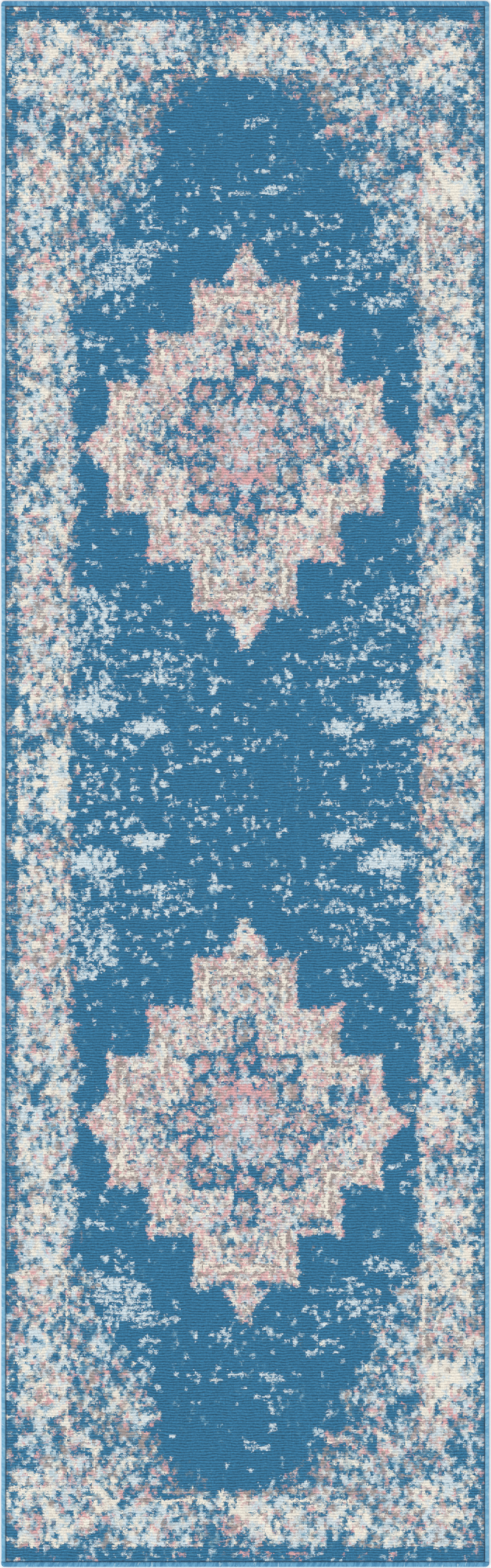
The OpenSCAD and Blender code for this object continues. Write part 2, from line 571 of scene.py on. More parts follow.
    def _flecks(self) -> None:
        """Scatters pale flecks over the field: small dots that run together in short rows.

        Each cell of a grid holds a dot or not. The chance of one, and its size, come from the clusters.
        """
        wide, tall = self.fleck_pitch
        half_w = self.layout.pile_half_w
        shape = int(self.y.max() / tall) + 3, int(2 * half_w / wide) + 3
        row, column = np.indices(shape)
        x = (column - 0.5 + self.random.uniform(-0.35, 0.35, shape)) * wide - half_w
        y = (row - 0.5 + self.random.uniform(-0.20, 0.20, shape)) * tall
        dot_w = self.random.uniform(2.8, 5.2, shape)
        dot_h = self.random.uniform(2.4, 3.7, shape)
        share = self._fleck_share(x, y)
        chance = self.cloud((1.0, 2.4), shape) + 0.7 * self.random.standard_normal(shape)
        rank = (chance.argsort(axis=None).argsort().reshape(shape) + 0.5) / chance.size
        grown = (0.82 + 0.75 * share**2) * (rank > 1 - np.minimum(1.75 * share, 1))
        own_row = np.floor(self.y / tall + 0.5).astype(int)
        own_column = np.floor((self.x + half_w) / wide + 0.5).astype(int)
        cover = np.zeros_like(self.x)
        for down, right in np.ndindex(3, 3):
            cell = np.clip(own_row + down, 0, shape[0] - 1), np.clip(own_column + right, 0, shape[1] - 1)
            reach = np.hypot((self.x - x[cell]) / dot_w[cell], (self.y - y[cell]) / dot_h[cell])
            cover = np.maximum(cover, np.clip((grown[cell] - reach) * 3.0 + 0.5, 0, 1) * (grown[cell] > 0))
        plain = self.weights[0] > 0.9
        self.paint(plain * cover, Tone.FLECK)

    def _fleck_share(self, x: np.ndarray, y: np.ndarray) -> np.ndarray:
        """Gives the share of the field that is pale at places on it.

        Args:
            x: Distance across the rug, in mm.
            y: Distance from mid-length, in mm.

        Returns:
            One share for each place.
        """
        share = np.full_like(x, self.stray_flecks)
        for patch in self._clusters():
            fall = np.clip(1.5 - np.hypot(*patch.reach(x, y)), 0, 1) ** 0.6
            share = np.maximum(share, 0.88 * patch.share * fall)
        return share

    @staticmethod
    def _clusters() -> list[Patch]:
        """Lists the field's clusters of flecks, with the share of tufts that they turn pale.

        Returns:
            The clusters.
        """
        rows = [(-214, 108, 32, 17, .98), (-180, 116, 18, 12, .55), (206, 108, 30, 17, .98),
                (172, 114, 22, 12, .55), (-136, 79, 24, 9, .98), (138, 80, 24, 9, .95),
                (-176, 52, 34, 14, .30), (178, 50, 34, 14, .34), (-224, 60, 22, 30, .25),
                (226, 55, 20, 30, .25), (-212, 12, 34, 24, .28), (212, 10, 34, 24, .24),
                (-120, 20, 50, 26, .12), (120, 20, 50, 26, .12), (-222, 267, 24, 12, .34),
                (222, 262, 24, 16, .34), (-205, 232, 38, 26, .42), (205, 232, 38, 22, .42),
                (-165, 262, 34, 16, .22), (165, 262, 34, 14, .18), (-140, 222, 56, 18, .28),
                (140, 214, 50, 18, .24), (-120, 176, 60, 10, .34), (120, 176, 54, 10, .34),
                (-130, 150, 50, 10, .38), (135, 148, 46, 10, .34), (-210, 165, 36, 30, .26),
                (210, 170, 36, 30, .26), (-36, 140, 18, 8, .42), (44, 140, 22, 9, .30),
                (-44, 90, 3, 34, .22), (37, 90, 3, 34, .22), (0, 100, 60, 60, .05),
                (0, 30, 110, 34, .09), (0, 225, 120, 20, .05), (12, 930, 24, 10, .30),
                (110, 922, 14, 8, .36), (39, 900, 3, 20, .5), (36, 858, 30, 8, .28),
                (40, 838, 20, 8, .62), (-48, 836, 38, 8, .45), (-60, 812, 40, 12, .08),
                (98, 790, 34, 10, .45), (-34, 776, 12, 10, .24), (36, 778, 12, 8, .6),
                (130, 745, 34, 12, .30), (-140, 800, 20, 30, .25), (-150, 745, 40, 22, .55),
                (-190, 715, 40, 24, .60), (-120, 740, 18, 10, .3), (-182, 678, 22, 18, .45),
                (-214, 634, 24, 14, .32), (170, 735, 44, 10, .32), (196, 676, 30, 9, .42),
                (150, 700, 46, 26, .14), (200, 628, 20, 14, .14), (-205, 590, 30, 14, .10),
                (222, 540, 16, 40, .12), (-226, 430, 14, 40, .10), (216, 330, 26, 24, .10)]
        return [Patch(x, y, w, h, share=share) for x, y, w, h, share in rows]

    def _pick(self) -> np.ndarray:
        """Mixes each tuft's yarns, mostly from the one with the highest score.

        Returns:
            Both halves' display colours.
        """
        spread = {Yarn.BLUE: (0.50, 0.25), Yarn.PALE: (0.40, 0.25), Yarn.CREAM: (0.55, 0.35),
                  Yarn.PINK: (0.35, 0.15), Yarn.TAUPE: (0.35, 0.15)}
        scatter = np.where(self._mirrored(self.inside), self.calm, self.scatter)
        scores = []
        shared = np.where(self.inside, math.sqrt(self.symmetry), 0.0)
        own = np.sqrt(1 - shared**2)
        for weight, sizes in zip(self.weights, spread.values()):
            half = np.where(self.inside, self.blotches(0.3, 0.0, 0.85), self.blotches(*sizes))
            half = half * own + (half + half[:, ::-1]) / math.sqrt(2) * shared
            both = self._mirrored(half)
            both = 0.92 * both + 0.39 * self.cloud((1.2, 2.2), both.shape)
            scores.append(np.log(np.maximum(self._mirrored(weight), 1e-4)) + scatter * both)
        score = np.array(scores) * self.sharpness
        share = np.exp(score - score.max(axis=0))
        share /= share.sum(axis=0)
        return np.einsum("kij,kc->ijc", share, np.array([yarn.value for yarn in Yarn]))

    @staticmethod
    def _mirrored(half: np.ndarray) -> np.ndarray:
        """Puts the near half, a mirror image, before the far half."""
        return np.concatenate([half[::-1], half])


# ---------------------------------------------------------------------------------------------------------
# Shader graphs
# ---------------------------------------------------------------------------------------------------------


class Socket:
    """An output socket, with arithmetic that adds the Math nodes it needs."""

    def __init__(self, graph: "Graph", socket: bpy.types.NodeSocket) -> None:
        """Keeps the socket and the graph that it is in."""
        self.graph = graph
        self.socket = socket

    def _math(self, operation: str, first: Any, second: Any = 0.0) -> "Socket":
        """Adds one Math node."""
        return self.graph.node("ShaderNodeMath", {"operation": operation}, {0: first, 1: second})

    def __add__(self, other: Union["Socket", Number]) -> "Socket":
        """Adds a value."""
        return self._math("ADD", self, other)

    __radd__ = __add__

    def __sub__(self, other: Union["Socket", Number]) -> "Socket":
        """Takes a value away."""
        return self._math("SUBTRACT", self, other)

    def __rsub__(self, other: Union["Socket", Number]) -> "Socket":
        """Takes this away from a value."""
        return self._math("SUBTRACT", other, self)

    def __mul__(self, other: Union["Socket", Number]) -> "Socket":
        """Multiplies by a value."""
        return self._math("MULTIPLY", self, other)

    __rmul__ = __mul__

    def __mod__(self, other: Number) -> "Socket":
        """Gives the remainder, never below 0."""
        return self._math("FLOORED_MODULO", self, other)

    def valley(self) -> "Socket":
        """Gives 0 in the middle of each whole step and 1 where two steps meet."""
        return self._math("ABSOLUTE", self % 1 - 0.5) * 2

    def rise(self, start: float, end: float) -> "Socket":
        """Goes smoothly from 0 at start to 1 at end.

        Args:
            start: Where it leaves 0.
            end: Where it reaches 1.

        Returns:
            The smooth step.
        """
        return self.graph.node(
            "ShaderNodeMapRange",
            {"interpolation_type": "SMOOTHSTEP"},
            {"Value": self, "From Min": start, "From Max": end},
        )


class Graph:
    """The node tree of one material."""

    def __init__(self, name: str) -> None:
        """Starts a material with an empty tree.

        Args:
            name: The material's name.
        """
        self.material = bpy.data.materials.new(name)
        self.material.use_nodes = True
        self.tree = self.material.node_tree
        self.tree.nodes.clear()

    def node(
        self,
        kind: str,
        settings: Optional[dict[str, Any]] = None,
        inputs: Optional[dict[Union[int, str], Any]] = None,
        out: Union[int, str] = 0,
    ) -> Socket:
        """Adds any node.

        Args:
            kind: The node's type.
            settings: What is set before its sockets.
            inputs: A value or a Socket for each of its input sockets, by name or number.
            out: The output socket wanted, by name or number.

        Returns:
            That output socket.
        """
        made = self.tree.nodes.new(kind)
        for key, value in (settings or {}).items():
            setattr(made, key, value)
        for key, value in (inputs or {}).items():
            if isinstance(value, Socket):
                self.tree.links.new(value.socket, made.inputs[key])
            else:
                made.inputs[key].default_value = value
        return Socket(self, made.outputs[out])

    def uv(self, name: str) -> Socket:
        """Reads one of the cloth's own coordinates."""
        return self.node("ShaderNodeUVMap", {"uv_map": name})

    def color(self, name: str) -> Socket:
        """Reads one of the faces' own colours."""
        return self.node("ShaderNodeAttribute", {"attribute_name": name}, out="Color")

    def parts(self, vector: Socket) -> tuple[Socket, Socket]:
        """Splits a vector into its first two values."""
        return tuple(self.node("ShaderNodeSeparateXYZ", inputs={0: vector}, out=i) for i in (0, 1))

    def noise(self, vector: Socket, scale: float, detail: float, stretch: Optional[Pair] = None) -> Socket:
        """Reads a noise from 0 to 1.

        Args:
            vector: Where it is read, in millimetres on the cloth.
            scale: Its cells a millimetre.
            detail: Levels of finer grain.
            stretch: Factors on the two directions, both 1 if left out.

        Returns:
            The noise.
        """
        if stretch is not None:
            inputs = {0: vector, 1: (*stretch, 1.0)}
            vector = self.node("ShaderNodeVectorMath", {"operation": "MULTIPLY"}, inputs)
        inputs = {"Vector": vector, "Scale": scale, "Detail": detail, "Roughness": 0.55}
        return self.node("ShaderNodeTexNoise", {"noise_dimensions": "2D"}, inputs)

    def mix(self, factor: Any, first: Any, second: Any, how: str = "MIX") -> Socket:
        """Mixes two colours.

        Args:
            factor: How much of the second, a number or a Socket.
            first: A display colour or a Socket.
            second: A display colour or a Socket.
            how: The Mix node's blend type.

        Returns:
            The mixed colour.
        """
        colors = [c if isinstance(c, Socket) else rgba(c) for c in (first, second)]
        return self.node(
            "ShaderNodeMix",
            {"data_type": "RGBA", "blend_type": how, "clamp_factor": True},
            {0: factor, 6: colors[0], 7: colors[1]},
            out=2,
        )

    def shaded(self, color: Socket, shade: Socket) -> Socket:
        """Multiplies a colour by a value."""
        return self.mix(1.0, color, shade, "MULTIPLY")

    def bump(self, height: Socket, depth: float) -> Socket:
        """Turns a height in millimetres into a normal; depth is how strongly, from 0 to 1."""
        return self.node("ShaderNodeBump", inputs={"Strength": depth, "Distance": MM, "Height": height})

    def finish(self, color: Socket, normal: Socket, roughness: float, sheen: float) -> bpy.types.Material:
        """Puts a fibre surface on the output.

        Args:
            color: The surface's colour.
            normal: The bumped normal.
            roughness: How matt it is.
            sheen: How much the fibres glow at a grazing angle.

        Returns:
            The finished material.
        """
        fibre = {
            "Base Color": color,
            "Normal": normal,
            "Roughness": roughness,
            "Sheen Weight": sheen,
            "Sheen Roughness": 0.5,
            "Specular IOR Level": 0.2,
        }
        surface = self.node("ShaderNodeBsdfPrincipled", inputs=fibre)
        output = self.tree.nodes.new("ShaderNodeOutputMaterial")
        self.tree.links.new(surface.socket, output.inputs["Surface"])
        return self.material


# ---------------------------------------------------------------------------------------------------------
# Finishes
# ---------------------------------------------------------------------------------------------------------


@dataclass(frozen=True)
class PileFinish:
    """Cut pile: two yarns a face, frayed where they meet, with painted shade down between the ribs."""

    fray: float = 0.70
    fibre: float = 0.40
    # Strength of the painted shade between the ribs.
    valley: float = 0.62
    sway: float = 0.85
    lean: float = 0.36
    fibres_per_mm: float = 2.4
    brightness: float = 1.09
    # Colour and strength of the painted highlight on the fibre tips.
    tip: Rgb = (0.93, 0.93, 0.92)
    tip_highlight: float = 0.12

    def material(self) -> bpy.types.Material:
        """Makes the pile's material.

        Returns:
            The material.
        """
        graph = Graph("cut_pile")
        fabric = graph.uv("fabric")
        across, along = graph.parts(graph.uv("weave"))
        fray = graph.noise(fabric, 1.1, 2.0, (1.0, 0.55)) - 0.5
        fibre = graph.noise(fabric, self.fibres_per_mm, 3.0, (1.0, 0.7))
        speck = graph.noise(fabric, 0.9, 3.0, (1.0, 0.8))
        side = (across % 1 + fray * self.fray).rise(0.38, 0.62)
        own = graph.mix(side, graph.color("tuft_left"), graph.color("tuft_right"))
        stray = graph.mix(side, graph.color("stray_left"), graph.color("stray_right"))
        yarn = graph.mix(speck.rise(0.36, 0.64), own, stray)
        drift = graph.noise(fabric, 1.0, 2.0, (0.16, 0.60))
        lean = graph.noise(fabric, 1.0, 3.0, (0.22, 0.50)) - 0.5
        painted_fibre_light = graph.noise(fabric, 0.45, 2.0, (1.0, 0.85)) - 0.5
        sway = graph.noise(fabric, 1.0, 1.0, (0.045, 0.060)) - 0.5
        worn = graph.noise(fabric, 0.03, 3.0, (1.0, 0.4)) - 0.5
        depth = (along + sway * self.sway + fray * 0.24 + lean * self.lean).valley()
        gap = (across * 2 + fray * 0.3).valley()
        light = graph.node("ShaderNodeRGBToBW", inputs={0: yarn})
        # Painted shade: the colour is darkened down between the ribs, more on dark yarns than on pale ones.
        painted_valley_shade = depth.rise(0.15, 0.95) * (drift.rise(0.25, 0.70) * 0.65 + 0.35)
        shade = 1 - painted_valley_shade * (1 - light * 0.85) * self.valley
        # Painted shade in the narrow gaps between tufts, times a slow random tone.
        shade = shade * (1 - gap.rise(0.6, 1.0) * 0.06) * (1 + worn * 0.16)
        # Painted light and shade where the fibres lean and bunch, stronger on dark yarns.
        shade = shade * (1 + (lean * 0.35 + painted_fibre_light * 0.95) * (1 - light * 0.75))
        shade = shade * (1 - self.fibre * 0.5 + self.fibre * fibre)
        # Painted highlight: some fibre tips are mixed towards near white.
        tip_highlight = graph.mix(fibre.rise(0.45, 0.85) * self.tip_highlight, yarn, self.tip)
        normal = graph.bump(fibre * 0.5 - depth.rise(0.5, 1.0) * 0.25, 0.6)
        return graph.finish(graph.shaded(tip_highlight, shade * self.brightness), normal, 0.92, 0.25)


@dataclass(frozen=True)
class YarnFinish:
    """Yarn wound round an edge or drawn along it: two colours that mingle, its twist, and painted shade
    between the wraps and in the twist.
    """

    name: str
    dark: Rgb
    light: Rgb
    fleck: Rgb
    # Strength of the painted shade between wraps or stitches.
    valley: float

    def material(self) -> bpy.types.Material:
        """Makes the yarn's material.

        Returns:
            The material.
        """
        graph = Graph(self.name)
        fabric = graph.uv("fabric")
        around, along = graph.parts(graph.uv("weave"))
        wraps = graph.node("ShaderNodeCombineXYZ", inputs={0: around * 2.0, 1: along})
        heather = graph.noise(wraps, 1.0, 2.0, (1.0, 0.45))
        pale = graph.noise(wraps, 1.0, 3.0, (0.7, 0.30))
        fibre = graph.noise(fabric, 3.0, 2.0)
        x, y = graph.parts(fabric)
        twist = (x * 0.55 + y * 1.5 + heather * 0.8).valley()
        valley = (along + (heather - 0.5) * 0.12).valley()
        color = graph.mix(heather.rise(0.34, 0.66), self.dark, self.light)
        color = graph.mix(pale.rise(0.66, 0.72) * 0.8, color, self.fleck)
        # Painted shade: darker in the valleys between wraps or stitches, and in the grooves of the twist.
        shade = (1 - valley.rise(0.45, 1.0) * self.valley) * (0.90 + fibre * 0.20)
        shade = shade * (1 - twist.rise(0.6, 1.0) * 0.14)
        normal = graph.bump(fibre * 0.15 - twist.rise(0.5, 1.0) * 0.12, 0.6)
        return graph.finish(graph.shaded(color, shade), normal, 0.80, 0.2)


@dataclass(frozen=True)
class ClothFinish:
    """Woven ground cloth, or the latex-coated back of it with the pattern showing through, with painted
    shade between its threads.
    """

    name: str
    warp: Rgb
    weft: Rgb
    ghost: float

    def material(self) -> bpy.types.Material:
        """Makes the cloth's material.

        Returns:
            The material.
        """
        graph = Graph(self.name)
        fabric = graph.uv("fabric")
        across, along = graph.parts(graph.uv("weave"))
        uneven = graph.noise(fabric, 0.9, 3.0, (0.4, 1.2))
        fine = graph.noise(fabric, 2.6, 3.0)
        stain = graph.noise(fabric, 0.02, 3.0) - 0.5
        weft = (along * 2 + (uneven - 0.5) * 0.25).valley()
        warp = (across * 8 + (uneven - 0.5) * 0.30).valley()
        color = graph.mix(weft.rise(0.35, 0.85), self.weft, self.warp)
        if self.ghost:
            color = graph.mix(uneven.rise(0.30, 0.75) * self.ghost, color, graph.color("tuft_left"))
        # Painted shade between the weft and warp threads; the next line adds random tone.
        shade = (1 - weft.rise(0.5, 1.0) * 0.22) * (1 - warp.rise(0.55, 1.0) * 0.12)
        shade = shade * (0.90 + fine * 0.20) * (1 + stain * 0.10)
        height = fine * 0.15 - weft.rise(0.4, 1.0) * 0.25 - warp.rise(0.5, 1.0) * 0.15
        return graph.finish(graph.shaded(color, shade), graph.bump(height, 0.7), 0.88, 0.1)


@dataclass(frozen=True)
class FloorFinish:
    """A plain, pale, matt floor."""

    color: Rgb = (0.955, 0.955, 0.955)
    grain: Rgb = (0.90, 0.90, 0.90)

    def material(self) -> bpy.types.Material:
        """Makes the floor's material.

        Returns:
            The material.
        """
        graph = Graph("studio_floor")
        place = graph.node("ShaderNodeTexCoord", out="Object")
        grain = graph.noise(place, 3.0, 3.0)
        color = graph.mix(grain.rise(0.3, 0.7) * 0.02, self.color, self.grain)
        return graph.finish(color, graph.bump(grain, 0.02), 0.9, 0.0)


# ---------------------------------------------------------------------------------------------------------
# Meshes
# ---------------------------------------------------------------------------------------------------------


@dataclass
class Shell:
    """A grid of points in millimetres, open like a cloth, or closed round its columns like a cord.

    Rows run along the piece. The maps give two values a point, and a closed shell's maps have one more
    column than its points. The colours have one value a face.
    """

    points: np.ndarray
    maps: dict[str, np.ndarray]
    colors: dict[str, np.ndarray] = field(default_factory=dict)
    closed: bool = False

    def build(self, name: str, material: bpy.types.Material) -> bpy.types.Object:
        """Makes the object.

        Args:
            name: The piece's name.
            material: Its finish.

        Returns:
            The object, linked to the scene, with smooth faces.
        """
        rows, columns = self.points.shape[:2]
        index = np.arange(rows * columns).reshape(rows, columns)
        if self.closed:
            index = np.concatenate([index, index[:, :1]], axis=1)
        corners = index[:-1, :-1], index[:-1, 1:], index[1:, 1:], index[1:, :-1]
        quads = np.stack(corners, axis=-1).reshape(-1, 4)
        loops, starts = quads.ravel(), np.arange(0, quads.size, 4)
        if self.closed:
            loops = np.concatenate([loops, index[0, :-1][::-1], index[-1, :-1]])
            starts = np.concatenate([starts, [quads.size, quads.size + columns]])
        mesh = bpy.data.meshes.new(name)
        mesh.vertices.add(rows * columns)
        mesh.vertices.foreach_set("co", (self.points * MM).astype(np.float32).ravel())
        mesh.loops.add(len(loops))
        mesh.loops.foreach_set("vertex_index", loops.astype(np.int32))
        mesh.polygons.add(len(starts))
        mesh.polygons.foreach_set("loop_start", starts.astype(np.int32))
        mesh.update(calc_edges=True)
        mesh.polygons.foreach_set("use_smooth", np.ones(len(starts), bool))
        self._add_maps(mesh)
        self._add_colors(mesh, len(starts))
        mesh.materials.append(material)
        mesh.validate()
        piece = bpy.data.objects.new(name, mesh)
        bpy.context.scene.collection.objects.link(piece)
        return piece

    def _add_maps(self, mesh: bpy.types.Mesh) -> None:
        """Writes each map to the corners of the faces.

        Args:
            mesh: The mesh that gets them.
        """
        for name, grid in self.maps.items():
            corners = np.stack([grid[:-1, :-1], grid[:-1, 1:], grid[1:, 1:], grid[1:, :-1]], axis=2)
            flat = np.zeros((len(mesh.loops), 2), np.float32)
            flat[: corners.size // 2] = corners.reshape(-1, 2)
            if self.closed:
                ends = np.concatenate([grid[0, :-1][::-1], grid[-1, :-1]])
                flat[corners.size // 2 :] = ends
            mesh.uv_layers.new(name=name).data.foreach_set("uv", flat.ravel())

    def _add_colors(self, mesh: bpy.types.Mesh, faces: int) -> None:
        """Writes each set of colours to the faces.

        Args:
            mesh: The mesh that gets them.
            faces: Its number of faces.
        """
        for name, grid in self.colors.items():
            flat = np.ones((faces, 4), np.float32)
            flat[: grid.size // 3, :3] = linear(grid).reshape(-1, 3)
            mesh.attributes.new(name, "FLOAT_COLOR", "FACE").data.foreach_set("color", flat.ravel())


def sweep(path: np.ndarray, profile: np.ndarray) -> np.ndarray:
    """Carries a profile along a path.

    Args:
        path: Rows of x, y, z.
        profile: Rows × columns of sideways and upward offsets, or one row for all.

    Returns:
        Rows × columns of points, with outward faces if the profile turns left, up, right and down.
    """
    ahead = np.gradient(path, axis=0)
    side = np.stack([ahead[:, 1], -ahead[:, 0]], axis=1)
    side /= np.linalg.norm(side, axis=1, keepdims=True)
    points = np.repeat(path[:, None, :], profile.shape[1], axis=1).astype(float)
    points[..., :2] += side[:, None, :] * profile[..., :1]
    points[..., 2] += profile[..., 1]
    return points


def around(columns: int, power: float = 1.0) -> np.ndarray:
    """Gives a closed round profile of radius 1, squarer as the power falls, that starts at its left.

    Args:
        columns: Its number of points.
        power: 1 for a circle, less for a squarer form.

    Returns:
        Columns of sideways and upward offsets.
    """
    turn = np.arange(columns) * 2 * math.pi / columns
    sides = -np.cos(turn), np.sin(turn)
    return np.stack([np.sign(s) * np.abs(s) ** power for s in sides], axis=1)


def girth_map(rows: np.ndarray, columns: int, girth: float) -> np.ndarray:
    """Gives a closed shell's map: the way round it, from 0 to girth, and the value of each row."""
    u, v = np.meshgrid(np.linspace(0, girth, columns + 1), rows)
    return np.stack([u, v], axis=-1)


def drift(place: np.ndarray, seed: int, sizes: Iterable[tuple[float, float]]) -> np.ndarray:
    """Adds slow waves, each given by its length and height in millimetres, at places along an edge."""
    phases = np.random.default_rng(seed).uniform(0, 2 * math.pi, 8)
    return sum(high * np.sin(place * 2 * math.pi / long + p) for (long, high), p in zip(sizes, phases))


# ---------------------------------------------------------------------------------------------------------
# Sub-assemblies
# ---------------------------------------------------------------------------------------------------------


@dataclass
class Pile:
    """The cut pile: four stretches of ribs, coloured tuft by tuft."""

    layout: Layout
    finish: PileFinish
    colors: np.ndarray
    rows_per_rib: int = 4
    faces_across: int = 170
    valley: float = 0.85
    flank: float = 0.22
    sunk: float = 0.22
    seed: int = 23

    def build(self) -> None:
        """Builds the four stretches, bakes their placement and hides the CAD nodes that they replace."""
        material = self.finish.material()
        points, maps, colors = self._whole()
        for stretch in Stretch.all(self.layout):
            ends = stretch.first, stretch.last
            low, high = (self.rows_per_rib * (rib + self.layout.ribs_per_half) + 2 for rib in ends)
            if stretch.reaches_end:
                low, high = (0, high) if stretch.side < 0 else (low, len(points) - 1)
            rows, faces = slice(low, high + 1), slice(low, high)
            own_maps = {name: grid[rows] for name, grid in maps.items()}
            shell = Shell(points[rows], own_maps, {name: grid[faces] for name, grid in colors.items()})
            piece = shell.build(f"cut_pile_{stretch.name}", material)
            stretch.hang(piece, self.layout, f"pile_{stretch.part}")
            start, end = stretch.span(self.layout, self.layout.half_l - self.layout.end_serging)
            (end - start) * MM
            log.info("%s: %d faces", piece.name, len(piece.data.polygons))

    def _whole(self) -> tuple[np.ndarray, dict[str, np.ndarray], dict[str, np.ndarray]]:
        """Lays out the whole pile, with two rows and columns down each edge.

        Returns:
            The points, the maps and the face colours.
        """
        layout, per = self.layout, self.rows_per_rib
        rows, columns = 2 * layout.ribs_per_half * per + 1, self.faces_across + 1
        random = np.random.default_rng(self.seed)
        smooth = Smooth(random, (rows, columns))
        ribs = np.arange(rows) / per
        x = np.linspace(-layout.pile_half_w, layout.pile_half_w, columns)
        y = (ribs - layout.ribs_per_half) * layout.rib
        calm_y = np.minimum(layout.pile_half_l - np.abs(y), 8.0)[:, None] / 8.0
        calm_x = np.minimum(layout.pile_half_w - np.abs(x), 6.0)[None, :] / 6.0
        points = np.zeros((rows, columns, 3))
        points[..., 0] = x + smooth((2.0, 1.2)) * 0.28 * calm_x
        wave = smooth((30.0, 9.0)) * 0.30 + smooth((5.0, 2.2)) * 0.26
        points[..., 1] = y[:, None] + wave * calm_y
        level = np.array([-self.valley, -self.flank, 0.0, -self.flank])[np.arange(rows) % per]
        uneven = np.clip(smooth((1.6, 1.1)) * 0.13, -self.sunk, self.sunk)
        points[..., 2] = layout.pile_top - self.sunk + level[:, None] + uneven
        tufts, crests = np.meshgrid(np.arange(columns), ribs)
        maps = {"fabric": self._widened(points[..., :2])}
        maps["weave"] = self._widened(np.stack([tufts, crests], axis=-1))
        colors = {}
        for name, spread in (("tuft", (0.26, 0.48)), ("stray", (0.55, 0.90))):
            faces = self._picked(random, spread)
            colors[f"{name}_left"] = self._padded(faces[:, 0::2])
            colors[f"{name}_right"] = self._padded(faces[:, 1::2])
        return self._edged(points), maps, colors

    def _picked(self, random: np.random.Generator, spread: tuple[float, float]) -> np.ndarray:
        """Reads the cartoon a little off each tuft's own place.

        Args:
            random: The source of random numbers.
            spread: How far off, in ribs and tufts.

        Returns:
            Colours with one row a row of faces and one column a tuft.
        """
        rows, columns = len(self.colors) * self.rows_per_rib, self.colors.shape[1]
        smooth = Smooth(random, (rows, columns))
        row = (np.arange(rows)[:, None] + 0.5) / self.rows_per_rib - 0.5 + smooth((3.0, 1.6)) * spread[0]
        column = np.arange(columns)[None, :] + smooth((2.6, 1.6)) * spread[1]
        row = np.clip(np.rint(row), 0, len(self.colors) - 1).astype(int)
        return self.colors[row, np.clip(np.rint(column), 0, columns - 1).astype(int)]

    def _edged(self, points: np.ndarray) -> np.ndarray:
        """Adds two rows and columns that go down into the groove beside the serging.

        Args:
            points: The pile's upper side.

        Returns:
            The points with their edges.
        """
        edged, layout = self._padded(points), self.layout
        for row, share in ((1, 0.15), (0, 1.0), (-2, 0.15), (-1, 1.0)):
            sign = -1 if row in (0, 1) else 1
            edged[row, :, 1] = sign * (layout.pile_half_l + share * (layout.edge_end - layout.pile_half_l))
            edged[:, row, 0] = sign * (layout.pile_half_w + share * (layout.edge_in - layout.pile_half_w))
            edged[row, :, 2] = layout.groove_bottom
            edged[:, row, 2] = layout.groove_bottom
        return edged

    @staticmethod
    def _padded(grid: np.ndarray) -> np.ndarray:
        """Repeats the outermost values twice on every side."""
        return np.pad(grid, ((2, 2), (2, 2), (0, 0)), mode="edge")

    def _widened(self, grid: np.ndarray) -> np.ndarray:
        """Adds two rows and columns of map values that go on past every side.

        Args:
            grid: One map.

        Returns:
            The map with its edges.
        """
        made = self._padded(grid).astype(float)
        for place, step in ((1, -0.4), (0, -0.8), (-2, 0.4), (-1, 0.8)):
            made[place, :, 1] += step
            made[:, place, 0] += step
        return made


@dataclass
class Slab:
    """A thin closed layer of cloth under the pile, in four stretches."""

    layout: Layout
    finish: ClothFinish
    layer: str
    bottom: float
    top: float
    half_w: float
    half_l: float
    columns: int
    ridge: float
    rests: Optional[str] = None
    colors: Optional[np.ndarray] = None

    def build(self) -> None:
        """Builds the four stretches, bakes their placement and hides the CAD nodes that they replace."""
        material = self.finish.material()
        for stretch in Stretch.all(self.layout):
            self._stretch(stretch, material)

    def _stretch(self, stretch: Stretch, material: bpy.types.Material) -> None:
        """Builds one stretch, with a weft ridge a rib on its underside.

        Args:
            stretch: Which stretch.
            material: The layer's finish.
        """
        ribs = stretch.last - stretch.first
        start, end = stretch.span(self.layout, self.half_l)
        y = np.linspace(start, end, 2 * ribs + 1)
        x = np.linspace(-self.half_w, self.half_w, self.columns + 1)
        dent = np.where(np.arange(len(y)) % 2 == 0, self.ridge, 0.0)[:, None]
        dent = dent * (1 + 0.25 * drift(x, 5, ((61, 1.0), (23, 0.6))))[None, :]
        upper, lower = np.full_like(dent, self.top), self.bottom + dent
        side = np.concatenate([x, x[::-1]])
        height = np.concatenate([upper, lower[:, ::-1]], axis=1)
        points = np.stack(np.broadcast_arrays(side[None, :], y[:, None], height), axis=-1)
        place = np.concatenate([points[..., :2], points[:, :1, :2]], axis=1)
        count = np.stack([place[..., 0] / (2 * self.layout.tuft), place[..., 1] / self.layout.rib], axis=-1)
        colors = {"tuft_left": self._ghost(stretch, len(y) - 1)} if self.colors is not None else {}
        shell = Shell(points, {"fabric": place, "weave": count}, colors, closed=True)
        piece = shell.build(f"{self.finish.name}_{stretch.name}", material)
        stretch.hang(piece, self.layout, f"{self.layer}_{stretch.part}")
        2 * self.half_w * MM
        (end - start) * MM
        log.info("%s: %d faces", piece.name, len(piece.data.polygons))

    def _ghost(self, stretch: Stretch, rows: int) -> np.ndarray:
        """Thins the pattern to this layer's faces: the upper ones, an edge, the lower ones and an edge.

        Args:
            stretch: Which stretch.
            rows: Its rows of faces.

        Returns:
            One display colour a face.
        """
        first = stretch.first + self.layout.ribs_per_half
        last = stretch.last + self.layout.ribs_per_half
        ribs = self.colors[first:last]
        across = ribs.reshape(len(ribs), self.columns, -1, 3).mean(axis=2)
        across = np.repeat(across, rows // len(ribs), axis=0)
        return np.concatenate([across, across[:, -1:], across[:, ::-1], across[:, :1]], axis=1)


class Rim(Enum):
    """The rug's two long sides and two ends, each with the sign of the axis that it faces."""

    LEFT = ("left", -1)
    RIGHT = ("right", 1)
    NEAR = ("near", -1)
    FAR = ("far", 1)

    def __init__(self, label: str, sign: int) -> None:
        """Keeps the name that pieces use, and the sign."""
        self.label = label
        self.sign = sign


